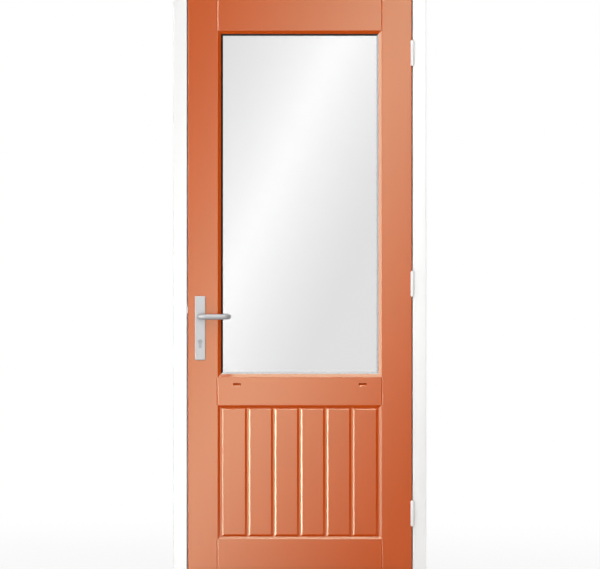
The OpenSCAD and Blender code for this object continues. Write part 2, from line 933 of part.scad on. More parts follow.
module flap_plate(z, y0, x1) {
    corner = flap_corner_r;
    along_x(rounded([
        [y0, z - hinge_h / 2, 0], [flap_l, z - hinge_h / 2, corner],
        [flap_l, z + hinge_h / 2, corner], [y0, z + hinge_h / 2, 0]
    ]), half_w - flap_t, x1);
}

// Screws that point from the leaf's edge into its stile
module leaf_screw_places(z) {
    for (place = flap_screws) translate([half_w, place[0], z + place[1]]) rotate([0, 90, 0]) children();
}

// A leaf flap with the knuckles that its list names, counted from the bottom
module flap(z, knuckles) {
    pitch = hinge_h / knuckle_count;
    difference() {
        union() {
            flap_plate(z, flap_start_y, half_w);
            for (k = knuckles) {
                z0 = z - hinge_h / 2 + k * pitch + (k > 0 ? knuckle_clear / 2 : 0);
                z1 = z - hinge_h / 2 + (k + 1) * pitch - (k < knuckle_count - 1 ? knuckle_clear / 2 : 0);
                rod_z(knuckle_d, pin_x, -pin_out, z0, z1);
                block([half_w - flap_t, -pin_out, z0], [half_w, flap_start_y + cut, z1]);
            }
        }
        rod_z(pin_d + 2 * pin_clear, pin_x, -pin_out, z - hinge_h, z + hinge_h);
        leaf_screw_places(z) screw_hole(screw_head_d, screw_d, hinge_screw_l, screw_clear);
    }
}

module leaf_flap(z) {
    color(white) flap(z, [1, 3]);
}

module frame_flap(z) {
    color(white) across_pin() flap(z, [0, 2, 4]);
}

// A pin with a button head at each end
module pin(z) {
    end_z = hinge_h / 2;
    color(white) translate([pin_x, -pin_out, z]) rotate_extrude() polygon([
        [0, -end_z - pin_head_h], [pin_head_d / 2 - 1, -end_z - pin_head_h], [pin_head_d / 2, -end_z - pin_head_h + 1],
        [pin_head_d / 2, -end_z], [pin_d / 2, -end_z], [pin_d / 2, end_z], [pin_head_d / 2, end_z],
        [pin_head_d / 2, end_z + pin_head_h - 1], [pin_head_d / 2 - 1, end_z + pin_head_h], [0, end_z + pin_head_h]
    ]);
}

module bottom_leaf_flap() {
    leaf_flap(hinge_heights[0]);
}

module middle_leaf_flap() {
    leaf_flap(hinge_heights[1]);
}

module top_leaf_flap() {
    leaf_flap(hinge_heights[2]);
}

module bottom_frame_flap() {
    frame_flap(hinge_heights[0]);
}

module middle_frame_flap() {
    frame_flap(hinge_heights[1]);
}

module top_frame_flap() {
    frame_flap(hinge_heights[2]);
}

module bottom_pin() {
    pin(hinge_heights[0]);
}

module middle_pin() {
    pin(hinge_heights[1]);
}

module top_pin() {
    pin(hinge_heights[2]);
}

module leaf_hinge_screws() {
    color(steel) for (z = hinge_heights) leaf_screw_places(z) screw(screw_head_d, screw_d, hinge_screw_l);
}

module frame_hinge_screws() {
    color(steel) for (z = hinge_heights)
        across_pin() leaf_screw_places(z) screw(screw_head_d, screw_d, hinge_screw_l);
}

// Lock

module faceplate_blank(clear, x0, x1) {
    r = faceplate_w / 2 + clear;
    along_x(rounded_rectangle(
        [mid_y - r, faceplate_z - clear], [mid_y + r, faceplate_z + faceplate_h + clear], r - 0.01
    ), x0, x1);
}

// Screws that point from the lock edge into the stile
module faceplate_screw_places() {
    for (z = [faceplate_z + faceplate_screw_inset, faceplate_z + faceplate_h - faceplate_screw_inset])
        translate([-half_w, mid_y, z]) rotate([0, -90, 0]) children();
}

module cylinder_screw_place() {
    translate([-half_w, mid_y, cylinder_screw_z]) rotate([0, -90, 0]) children();
}

cylinder_screw_z = cylinder_z + cylinder_d / 2 - cylinder_h + cylinder_w / 2 - 1;
cylinder_screw_l = backset + 2;

module faceplate() {
    color(steel) difference() {
        faceplate_blank(0, -half_w, case_x);
        for (span = [[latch_z, latch_h], [bolt_z, bolt_h]])
            block(
                [-half_w - cut, mid_y - bolt_t / 2 - bolt_clear, span[0] - bolt_clear],
                [case_x + cut, mid_y + bolt_t / 2 + bolt_clear, span[0] + span[1] + bolt_clear]
            );
        faceplate_screw_places() screw_hole(screw_head_d, screw_d, plate_screw_l, screw_clear);
        cylinder_screw_place() screw_hole(screw_head_d, cylinder_screw_d, cylinder_screw_l, screw_clear);
    }
}

module faceplate_screws() {
    color(steel) faceplate_screw_places() screw(screw_head_d, screw_d, plate_screw_l);
}

// Seats of the follower and the cylinder in the case's walls
module case_holes() {
    rod_y(hub_d + 2 * turn_clear, axis_x, axis_z, -cut, leaf_t + cut);
    cylinder_section(bolt_clear, -cut, leaf_t + cut);
}

// Tray that carries the lock's parts, closed in front by the faceplate
module lock_case() {
    color(steel) difference() {
        block([case_x, case_y + case_wall, case_z], [case_x + case_d, case_y + case_t, case_z + case_h]);
        block(
            [case_x - cut, case_y, case_z + case_wall],
            [case_x + case_d - case_wall, case_y + case_t - case_wall, case_z + case_h - case_wall]
        );
        case_holes();
    }
}

module case_cover() {
    color(steel) difference() {
        block([case_x, case_y, case_z], [case_x + case_d, case_y + case_wall, case_z + case_h]);
        case_holes();
    }
}

// Hub round the spindle with an arm that draws the latch back
module follower() {
    color(steel) difference() {
        union() {
            rod_y(hub_d, axis_x, axis_z, case_y, case_y + case_t);
            block(
                [axis_x - arm_w / 2, mid_y - arm_t / 2, axis_z],
                [axis_x + arm_w / 2, mid_y + arm_t / 2, axis_z + arm_l]
            );
        }
        block(
            [axis_x - socket_w / 2, case_y - cut, axis_z - socket_w / 2],
            [axis_x + socket_w / 2, case_y + case_t + cut, axis_z + socket_w / 2]
        );
    }
}

// Bevelled head, tail over the follower and the lug that the follower's arm pushes
module latch_bolt() {
    tip_x = -half_w - latch_out;
    neck_x = axis_x - hub_d;
    lug_x = axis_x + arm_w / 2 + lug_gap;
    color(steel) {
        along_z([
            [tip_x, mid_y - bolt_t / 2], [neck_x, mid_y - bolt_t / 2], [neck_x, mid_y + bolt_t / 2],
            [-half_w, mid_y + bolt_t / 2], [tip_x, mid_y - bolt_t / 2 + 2]
        ], latch_z, latch_z + latch_h);
        block([neck_x - cut, mid_y - lug_t / 2, tail_z], [lug_x + lug_w, mid_y + lug_t / 2, tail_z + tail_h]);
        block([lug_x, mid_y - lug_t / 2, axis_z + hub_d / 2 + 0.5], [lug_x + lug_w, mid_y + lug_t / 2, tail_z + 1]);
    }
}

// Bar with a notch in its lower edge that the cam turns through
module dead_bolt() {
    notch_x = axis_x + bolt_throw / 2;
    color(steel) difference() {
        block([-half_w, mid_y - bolt_t / 2, bolt_z], [bolt_end_x, mid_y + bolt_t / 2, bolt_z + bolt_h]);
        block([notch_x - notch_w / 2, -cut, bolt_z - cut], [notch_x + notch_w / 2, leaf_t + cut, notch_top]);
    }
}

// Cylinder

// Keyhole section of the lock cylinder
module cylinder_section(clear, y0, y1) {
    foot_z = cylinder_z + cylinder_d / 2 - cylinder_h + cylinder_w / 2;
    rod_y(cylinder_d + 2 * clear, axis_x, cylinder_z, y0, y1);
    block([axis_x - cylinder_w / 2 - clear, y0, foot_z], [axis_x + cylinder_w / 2 + clear, y1, cylinder_z]);
    rod_y(cylinder_w + 2 * clear, axis_x, foot_z, y0, y1);
}

cylinder_end = plate_t + cylinder_out;
cam_slot = cam_w / 2 + bolt_clear;

module cylinder_body() {
    color(satin) difference() {
        cylinder_section(0, -cylinder_end, leaf_t + cylinder_end);
        rod_y(plug_d + 2 * turn_clear, axis_x, cylinder_z, -cylinder_end - cut, leaf_t + cylinder_end + cut);
        block(
            [axis_x - cylinder_d, mid_y - cam_slot, cylinder_z - cam_r - bolt_clear],
            [axis_x + cylinder_d, mid_y + cam_slot, cylinder_z + cylinder_d]
        );
        cylinder_screw_place() screw_hole(screw_head_d, cylinder_screw_d, cylinder_screw_l, screw_clear);
    }
}

module cylinder_screw() {
    color(steel) cylinder_screw_place() screw(screw_head_d, cylinder_screw_d, cylinder_screw_l);
}

// Plug of one side, with its keyway at the outer end
module plug() {
    depth = 22;
    difference() {
        rod_y(plug_d, axis_x, cylinder_z, -cylinder_end, mid_y - cam_w / 2);
        block(
            [axis_x - keyway_w / 2, -cylinder_end - cut, cylinder_z - keyway_h / 2],
            [axis_x + keyway_w / 2, depth - cylinder_end, cylinder_z + keyway_h / 2]
        );
    }
}

module outside_plug() {
    color(satin) plug();
}

module inside_plug() {
    color(satin) translate([0, leaf_t, 0]) mirror([0, 1, 0]) plug();
}

// Ring between the plugs with the nose that throws the dead bolt, pointing down at rest
module cam() {
    nose_w = 8;
    color(steel) {
        rod_y(cylinder_d, axis_x, cylinder_z, mid_y - cam_w / 2, mid_y + cam_w / 2 - bolt_clear);
        intersection() {
            rod_y(2 * cam_r, axis_x, cylinder_z, mid_y - cam_w / 2, mid_y + cam_w / 2 - bolt_clear);
            block(
                [axis_x - nose_w / 2, 0, cylinder_z - cam_r - cut], [axis_x + nose_w / 2, leaf_t, cylinder_z]
            );
        }
    }
}

// Handles

// Outside plate with bevelled edges, without its holes
module plate_blank() {
    x0 = axis_x - plate_w / 2;
    x1 = axis_x + plate_w / 2;
    z1 = plate_z + plate_h;
    b = plate_bevel;
    intersection() {
        along_z([
            [x0, 0], [x0, b - plate_t], [x0 + b, -plate_t], [x1 - b, -plate_t], [x1, b - plate_t], [x1, 0]
        ], plate_z, z1);
        along_x([
            [0, plate_z], [b - plate_t, plate_z], [-plate_t, plate_z + b], [-plate_t, z1 - b], [b - plate_t, z1], [0, z1]
        ], x0, x1);
    }
}

module plate_holes() {
    rod_y(lever_d + 2 * turn_clear, axis_x, axis_z, -plate_t - cut, leaf_t + plate_t + cut);
    cylinder_section(bolt_clear, -plate_t - cut, leaf_t + plate_t + cut);
}

// Bolts that point from the inside plate to the outside
module plate_bolt_places() {
    for (z = plate_bolt_heights) translate([axis_x, leaf_t + plate_t, z]) rotate([-90, 0, 0]) children();
}

plate_bolt_l = plate_t + leaf_t - 4;

module outside_plate() {
    color(satin) difference() {
        union() {
            plate_blank();
            for (z = plate_bolt_heights) rod_y(post_d, axis_x, z, -cut, post_l);
        }
        plate_holes();
        plate_bolt_places() screw_hole(bolt_head_d, plate_bolt_d, plate_bolt_l, screw_clear);
    }
}

module inside_plate() {
    color(satin) difference() {
        translate([0, leaf_t, 0]) mirror([0, 1, 0]) plate_blank();
        plate_holes();
        plate_bolt_places() screw_hole(bolt_head_d, plate_bolt_d, plate_bolt_l, screw_clear);
    }
}

module plate_bolts() {
    color(steel) plate_bolt_places() screw(bolt_head_d, plate_bolt_d, plate_bolt_l);
}

// A quarter bend of the bar about an upright axis, from the given angle on
module bend(x, angle) {
    translate([x, bend_y, axis_z]) rotate([0, 0, angle]) rotate_extrude(angle = 90)
        translate([bend_r, 0]) circle(d = lever_d);
}

// Outside lever: neck, bend, bar, and a bend back to the door with an eased end
module lever() {
    stub_y = bend_y + return_l;
    difference() {
        union() {
            rod_y(lever_d, axis_x, axis_z, bend_y, -0.5);
            bend(axis_x + bend_r, 180);
            rod_x(lever_d, -lever_out, axis_z, axis_x + bend_r, return_x);
            bend(return_x, 270);
            rod_y(lever_d, return_x + bend_r, axis_z, bend_y, stub_y);
            translate([return_x + bend_r, stub_y, axis_z]) rotate([-90, 0, 0])
                cylinder(d1 = lever_d, d2 = lever_d - 2 * end_round, h = end_round);
        }
        block(
            [axis_x - socket_w / 2, -spindle_end, axis_z - socket_w / 2],
            [axis_x + socket_w / 2, cut, axis_z + socket_w / 2]
        );
    }
}

module outside_lever() {
    color(satin) lever();
}

module inside_lever() {
    color(satin) translate([0, leaf_t, 0]) mirror([0, 1, 0]) lever();
}

module spindle() {
    color(steel) block(
        [axis_x - spindle_w / 2, -spindle_in, axis_z - spindle_w / 2],
        [axis_x + spindle_w / 2, leaf_t + spindle_in, axis_z + spindle_w / 2]
    );
}

lock_jamb();
hinge_jamb();
head();
threshold();
lock_side_seal();
hinge_side_seal();
head_seal();
threshold_seal();
strike_plate();
strike_screws();
bottom_frame_flap();
middle_frame_flap();
top_frame_flap();
bottom_pin();
middle_pin();
top_pin();
frame_hinge_screws();
lock_stile();
hinge_stile();
top_rail();
middle_rail();
bottom_rail();
rail_dowels();
grooved_panel();
outer_pane();
inner_pane();
spacer_bar();
edge_sealant();
glazing_seal();
glazing_tape();
setting_blocks();
left_bead();
right_bead();
top_bead();
bottom_bead();
lock_case();
case_cover();
faceplate();
faceplate_screws();
cylinder_body();
cylinder_screw();
outside_plate();
inside_plate();
plate_bolts();
bottom_leaf_flap();
middle_leaf_flap();
top_leaf_flap();
leaf_hinge_screws();
outside_lever();
inside_lever();
spindle();
follower();
latch_bolt();
dead_bolt();
outside_plug();
cam();
inside_plug();
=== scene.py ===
import math

import bmesh
import bpy
from mathutils import Matrix, Vector


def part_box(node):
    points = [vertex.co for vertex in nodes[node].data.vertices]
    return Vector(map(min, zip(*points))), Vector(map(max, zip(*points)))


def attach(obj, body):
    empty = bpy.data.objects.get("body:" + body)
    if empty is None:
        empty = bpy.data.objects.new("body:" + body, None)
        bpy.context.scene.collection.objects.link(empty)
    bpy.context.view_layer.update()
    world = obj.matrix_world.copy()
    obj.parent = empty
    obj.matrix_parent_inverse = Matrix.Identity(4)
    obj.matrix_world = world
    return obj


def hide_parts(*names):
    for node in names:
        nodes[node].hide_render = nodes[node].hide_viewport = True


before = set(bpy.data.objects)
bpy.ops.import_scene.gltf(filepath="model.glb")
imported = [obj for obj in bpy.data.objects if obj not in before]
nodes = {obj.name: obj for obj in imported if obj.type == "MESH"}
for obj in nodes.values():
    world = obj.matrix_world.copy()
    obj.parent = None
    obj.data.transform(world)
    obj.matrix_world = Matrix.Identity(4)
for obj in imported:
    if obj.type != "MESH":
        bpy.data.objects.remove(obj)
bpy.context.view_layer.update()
scene = bpy.context.scene
print("frame loaded:", len(nodes), "nodes")


# small helpers for working as by hand

def deselectAll():
    if bpy.context.object and bpy.context.object.mode != "OBJECT":
        bpy.ops.object.mode_set(mode="OBJECT")
    bpy.ops.object.select_all(action="DESELECT")


def takeHold(piece):
    deselectAll()
    piece.select_set(True)
    bpy.context.view_layer.objects.active = piece


def applyAll(piece):
    takeHold(piece)
    for modifier in list(piece.modifiers):
        bpy.ops.object.modifier_apply(modifier=modifier.name)


def smoothOver(piece, angle):
    takeHold(piece)
    bpy.ops.object.shade_smooth_by_angle(angle=math.radians(angle))
    evenOut = piece.modifiers.new("evenOut", "WEIGHTED_NORMAL")  # keeps the big flats flat
    evenOut.keep_sharp = True
    evenOut.weight = 80
    applyAll(piece)


def copyOfNode(node, name):
    piece = bpy.data.objects.new(name, nodes[node].data.copy())
    scene.collection.objects.link(piece)
    piece.data.materials.clear()
    takeHold(piece)
    bpy.ops.mesh.customdata_custom_splitnormals_clear()
    bpy.ops.object.mode_set(mode="EDIT")
    bpy.ops.mesh.select_all(action="SELECT")
    bpy.ops.mesh.remove_doubles(threshold=2e-5)
    bpy.ops.mesh.dissolve_limited(angle_limit=math.radians(0.6))
    bpy.ops.object.mode_set(mode="OBJECT")
    return piece


def roundEdges(piece, width, segments, sharpest=25, hidden=None):
    takeHold(piece)
    bpy.ops.object.mode_set(mode="EDIT")
    bpy.ops.mesh.select_all(action="DESELECT")
    bpy.ops.mesh.select_mode(type="EDGE")
    shape = bmesh.from_edit_mesh(piece.data)
    limit = math.radians(sharpest)
    for edge in shape.edges:
        if len(edge.link_faces) != 2 or edge.calc_face_angle(0) < limit:
            continue
        if hidden and any(hidden(face) for face in edge.link_faces):
            continue
        edge.select_set(True)
    bmesh.update_edit_mesh(piece.data)
    bpy.ops.mesh.bevel(offset=width, segments=segments, affect="EDGES", clamp_overlap=True)
    bpy.ops.object.mode_set(mode="OBJECT")


def dress(piece, material, body, slot, *replaced):
    piece.data.materials.clear()
    piece.data.materials.append(material)
    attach(piece, body)
    if replaced:
        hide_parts(*replaced)


# shader maths: a socket that can be added, multiplied and so on

class Wire:
    def __init__(self, tree, socket=None):
        self.tree = tree
        self.socket = socket

    def add(self, kind, settings=None, sockets=None, out=0):
        node = self.tree.nodes.new("ShaderNode" + kind)
        for key, value in (settings or {}).items():
            setattr(node, key, value)
        for key, value in (sockets or {}).items():
            if isinstance(value, Wire):
                self.tree.links.new(value.socket, node.inputs[key])
            else:
                node.inputs[key].default_value = value
        return Wire(self.tree, node.outputs[out])

    def maths(self, operation, first, second):
        return self.add("Math", {"operation": operation}, {0: first, 1: second})

    def __add__(self, other):
        return self.maths("ADD", self, other)

    def __radd__(self, other):
        return self.maths("ADD", other, self)

    def __sub__(self, other):
        return self.maths("SUBTRACT", self, other)

    def __rsub__(self, other):
        return self.maths("SUBTRACT", other, self)

    def __mul__(self, other):
        return self.maths("MULTIPLY", self, other)

    def __rmul__(self, other):
        return self.maths("MULTIPLY", other, self)

    def noise(self, where, scale, detail=2.0, rough=0.5):
        sockets = {"Vector": where, "Scale": scale, "Detail": detail, "Roughness": rough}
        return self.add("TexNoise", {}, sockets)

    def place(self, scale=(1, 1, 1)):
        return self.add("Mapping", {}, {"Vector": self.add("TexCoord", out="Object"), "Scale": scale})

    def along(self, axis):
        return self.add("SeparateXYZ", {}, {0: self.add("TexCoord", out="Object")}, axis)

    def blend(self, share, first, second):
        return self.add("Mix", {"data_type": "RGBA"}, {0: share, 6: first, 7: second}, 2)

    def bump(self, height, strength, depth):
        return self.add("Bump", {}, {"Height": height, "Strength": strength, "Distance": depth})

    def seenBy(self, first, *others):
        seen = self.add("LightPath", out=f"Is {first} Ray")
        for kind in others:
            seen = self.maths("MAXIMUM", seen, self.add("LightPath", out=f"Is {kind} Ray"))
        return seen


def newMaterial(name, **settings):
    material = bpy.data.materials.new(name)
    material.use_nodes = True
    shader = material.node_tree.nodes["Principled BSDF"]
    for key, value in settings.items():
        shader.inputs[key.replace("_", " ")].default_value = value
    return material, Wire(material.node_tree), shader


def feed(wire, shader, **links):
    for key, value in links.items():
        wire.tree.links.new(value.socket, shader.inputs[key.replace("_", " ")])


def shade(colour, amount):
    return (*[min(1, c * amount) for c in colour], 1)


# finishes

paint = {
    "orange": (0.535, 0.07, 0.004),
    "orangeSheen": (0.82, 1, 0.72, 1),  # tint of the gloss
    "white": (0.86, 0.86, 0.85),
    "whiteSheen": (1, 1, 1, 1),
    "shine": 0.49,
    "roughness": 0.11,  # at the least
    "streakRoughness": 0.05,
    "cloudRoughness": 0.03,
    "streaks": 240,  # brush marks per metre across the grain
    "streakLength": 5,
    "streakTone": (0.3, 0.93),  # share of the darker tone in a brush mark, and that tone
    "fibres": 3.5,  # times finer than the brush marks
    "peel": 520,
    "clouds": 3.0,
    "cloudTones": (0.955, 1.045),  # darkest and palest
    "relief": (0.45, 0.25, 0.3),  # shares of brush marks, fibres and peel
    "strength": 0.1,
    "depth": 0.00025,
}


def paintedTimber(name, coat, way):
    pigment = paint[coat]
    material, wire, shader = newMaterial(
        name, Specular_IOR_Level=paint["shine"], Specular_Tint=paint[coat + "Sheen"],
    )
    across, along = paint["streaks"], paint["streakLength"]
    stretch = (along, across, across) if way == "level" else (across, across, along)
    streaks = wire.noise(wire.place(stretch), 1.0, detail=3.0)
    fibres = wire.noise(wire.place([paint["fibres"] * s for s in stretch]), 1.0, detail=4.0, rough=0.6)
    peel = wire.noise(wire.place(), paint["peel"], detail=1.0)
    cloud = wire.noise(wire.place(), paint["clouds"], detail=2.0)
    darkest, palest = paint["cloudTones"]
    tone = wire.blend(cloud, shade(pigment, darkest), shade(pigment, palest))
    share, darker = paint["streakTone"]
    tone = wire.blend(streaks * share, tone, shade(pigment, darker))
    rough = paint["roughness"] + paint["streakRoughness"] * streaks + paint["cloudRoughness"] * cloud
    marks, fine, skin = paint["relief"]
    relief = streaks * marks + fibres * fine + peel * skin
    feed(
        wire, shader, Base_Color=tone, Roughness=rough,
        Normal=wire.bump(relief, paint["strength"], paint["depth"]),
    )
    return material


orangeUpright = paintedTimber("orangeUpright", "orange", "upright")
orangeLevel = paintedTimber("orangeLevel", "orange", "level")
whiteUpright = paintedTimber("whiteUpright", "white", "upright")
whiteLevel = paintedTimber("whiteLevel", "white", "level")


satin = {
    "tones": (0.93, 1.04),  # darkest and palest of the brushed lines
    "smoother": 0.06,  # taken off the roughness before lines and clouds add to it
    "lineRoughness": 0.1,
    "cloudRoughness": 0.04,
    "clouds": 18.0,
    "strength": 0.25,
}


def satinMetal(name, colour, roughness, stretch, depth, metallic=1.0):
    material, wire, shader = newMaterial(name, Metallic=metallic)
    lines = wire.noise(wire.place(stretch), 1.0, detail=3.0)
    cloud = wire.noise(wire.place(), satin["clouds"], detail=2.0)
    darkest, palest = satin["tones"]
    rough = roughness - satin["smoother"] + satin["lineRoughness"] * lines + satin["cloudRoughness"] * cloud
    feed(
        wire, shader, Base_Color=wire.blend(lines, shade(colour, darkest), shade(colour, palest)),
        Roughness=rough, Normal=wire.bump(lines, satin["strength"], depth),
    )
    return material


handleMetal = satinMetal(
    "handleMetal", colour=(0.335, 0.335, 0.34), roughness=0.45,
    stretch=(2600, 2600, 40), depth=0.00003, metallic=0.5,
)
leverMetal = satinMetal(
    "leverMetal", colour=(0.37, 0.37, 0.375), roughness=0.62,
    stretch=(60, 2600, 2600), depth=0.00003, metallic=0.4,
)
cylinderMetal = satinMetal(
    "cylinderMetal", colour=(0.22, 0.22, 0.225), roughness=0.4,
    stretch=(900, 900, 900), depth=0.00002, metallic=0.6,
)
lockSteel = satinMetal(
    "lockSteel", colour=(0.62, 0.63, 0.65), roughness=0.36, stretch=(900, 900, 900), depth=0.00002,
)
spacerMetal = satinMetal(
    "spacerMetal", colour=(0.66, 0.67, 0.68), roughness=0.4, stretch=(300, 1500, 300), depth=0.00003,
)

coating = {
    "clouds": 0.03,  # scale of the clouds, as a share of the grains' scale
    "mottle": (0.6, 0.4),  # shares of grains and clouds in the tone
    "palest": 1.05,
    "smoother": 0.06,
    "grainRoughness": 0.12,
    "strength": 0.3,
}


def plainCoat(name, colour, roughness, scale, depth, darkest, gloss=0.5):
    material, wire, shader = newMaterial(name, Specular_IOR_Level=gloss)
    grains = wire.noise(wire.place(), scale, detail=3.0, rough=0.6)
    cloud = wire.noise(wire.place(), scale * coating["clouds"], detail=2.0)
    mottle = grains * coating["mottle"][0] + cloud * coating["mottle"][1]
    tone = wire.blend(mottle, shade(colour, darkest), shade(colour, coating["palest"]))
    feed(
        wire, shader, Base_Color=tone,
        Roughness=roughness - coating["smoother"] + coating["grainRoughness"] * grains,
        Normal=wire.bump(grains, coating["strength"], depth),
    )
    return material


hingeWhite = plainCoat(
    "hingeWhite", colour=(0.84, 0.84, 0.83), roughness=0.36, scale=900, depth=0.00008, darkest=0.97,
)
sealRubber = plainCoat(
    "sealRubber", colour=(0.01, 0.0105, 0.0105), roughness=0.18,
    scale=700, depth=0.00001, darkest=0.7, gloss=0.42,
)
blackPlastic = plainCoat(
    "blackPlastic", colour=(0.022, 0.022, 0.022), roughness=0.5, scale=1200, depth=0.00005, darkest=0.8,
)


thresholdStone = {
    "tones": ((0.06, 0.064, 0.068, 1), (0.16, 0.165, 0.17, 1)),
    "fleckTone": (0.42, 0.43, 0.44, 1),
    "grains": 420,
    "flecks": 260.0,
    "clouds": 9.0,
    "fewer": 0.86,  # nearer to 1, fewer of the flecks are pale
    "fleckShare": 0.35,
    "mottle": (0.7, 0.3),  # shares of grains and clouds
    "roughness": (0.45, 0.25),  # at the least, and what the grains add
    "strength": 0.4,
    "depth": 0.0002,
}


def groundStone():
    material, wire, shader = newMaterial("groundStone")
    where = wire.place()
    grains = wire.noise(where, thresholdStone["grains"], detail=4.0, rough=0.65)
    flecks = wire.add("TexVoronoi", {}, {"Vector": where, "Scale": thresholdStone["flecks"]}, "Color")
    flecks = wire.add("SeparateColor", {}, {"Color": flecks}, "Red")
    pale = wire.maths("GREATER_THAN", flecks, thresholdStone["fewer"])
    cloud = wire.noise(where, thresholdStone["clouds"], detail=3.0)
    mottle = grains * thresholdStone["mottle"][0] + cloud * thresholdStone["mottle"][1]
    tone = wire.blend(mottle, *thresholdStone["tones"])
    tone = wire.blend(pale * thresholdStone["fleckShare"], tone, thresholdStone["fleckTone"])
    least, added = thresholdStone["roughness"]
    feed(
        wire, shader, Base_Color=tone, Roughness=least + added * grains,
        Normal=wire.bump(grains, thresholdStone["strength"], thresholdStone["depth"]),
    )
    return material


dowelBeech = {
    "tones": ((0.62, 0.41, 0.22, 1), (0.72, 0.52, 0.31, 1)),
    "fleckTone": (0.45, 0.27, 0.13, 1),
    "fleckShare": 0.35,
    "grain": (12, 260, 260),
    "flecks": (160, 900, 900),
    "roughness": (0.5, 0.2),  # at the least, and what the grain adds
    "strength": 0.3,
    "depth": 0.0002,
}


def bareBeech():
    material, wire, shader = newMaterial("bareBeech")
    grain = wire.noise(wire.place(dowelBeech["grain"]), 1.0, detail=4.0, rough=0.6)
    flecks = wire.noise(wire.place(dowelBeech["flecks"]), 1.0, detail=1.0)
    tone = wire.blend(grain, *dowelBeech["tones"])
    tone = wire.blend(flecks * dowelBeech["fleckShare"], tone, dowelBeech["fleckTone"])
    least, added = dowelBeech["roughness"]
    feed(
        wire, shader, Base_Color=tone, Roughness=least + added * grain,
        Normal=wire.bump(grain, dowelBeech["strength"], dowelBeech["depth"]),
    )
    return material


glazing = {  # both panes are a little bowed across the slanting band that they mirror
    "lean": (0.909, -0.416),  # across the band, along X and Z
    "middle": 0.693,
    "turn": 0.0395,
    "bow": 0.1,
    "tones": ((0.147, 0.147, 0.149, 1), (0.155, 0.155, 0.157, 1)),
    "clouds": 1.6,
    "roughness": (0.06, 0.03),  # at the least, and what the clouds add
    "tint": 0.083,  # how much of the glass shows, seen straight on
    "grazingTint": 0.5,  # more of it at a slant
}


def clearGlass():
    material, wire, shader = newMaterial("clearGlass", Metallic=1.0, IOR=1.5)
    cloud = wire.noise(wire.place(), glazing["clouds"], detail=2.0)
    facing = wire.add("LayerWeight", {}, {"Blend": 0.5}, "Facing")
    grazing = facing * facing * facing * facing
    leanX, leanZ = glazing["lean"]
    across = leanX * wire.along("X") + leanZ * wire.along("Z") + glazing["middle"]
    height = across * -glazing["turn"] - glazing["bow"] * across * across
    least, added = glazing["roughness"]
    feed(
        wire, shader, Base_Color=wire.blend(cloud, *glazing["tones"]), Roughness=least + added * cloud,
        Alpha=glazing["tint"] + glazing["grazingTint"] * grazing,
        Normal=wire.bump(height, 1.0, 1.0),  # the height is in metres
    )
    return material


stone = groundStone()
beech = bareBeech()
glass = clearGlass()
print("finishes made:", len(bpy.data.materials))


# the leaf's timber

leafTimber = {
    "round": 0.0011,
    "steps": 3,
    "smooth": 34,
    "buttAt": 0.305,  # where the rails meet the stiles, left and right of the middle
    "upright": ["lock_stile", "hinge_stile", "left_bead", "right_bead"],
    "level": ["top_rail", "middle_rail", "bottom_rail", "top_bead", "bottom_bead"],
}


def inJoint(face):
    x, y, z = (abs(part) for part in face.normal)
    mitre = abs(x - z) < 0.02 and y < 0.02
    offButt = abs(abs(face.calc_center_median().x) - leafTimber["buttAt"])
    return mitre or (x > 0.99 and offButt < 0.0005)


def plainName(node):
    first, *rest = node.split("_")
    return first + "".join(word.capitalize() for word in rest)


for way, material in (("upright", orangeUpright), ("level", orangeLevel)):
    for node in leafTimber[way]:
        piece = copyOfNode(node, plainName(node))
        roundEdges(piece, leafTimber["round"], leafTimber["steps"], hidden=inJoint)
        smoothOver(piece, leafTimber["smooth"])
        dress(piece, material, "leaf", "orange_paint", node)
print("leaf timber dressed")


# the grooved panel, with six raised fields on each side

panelRelief = {
    "fields": 6,
    "rise": 0.0045,
    "bevel": 0.007,
    "groove": 0.0065,
    "run": 0.573,  # across all the fields, without the extra width of the outer two
    "extra": 0.003,
    "foot": (0.16, 0.636),  # height of the fields' lower and upper edge
    "round": 0.0009,
    "steps": 3,
}


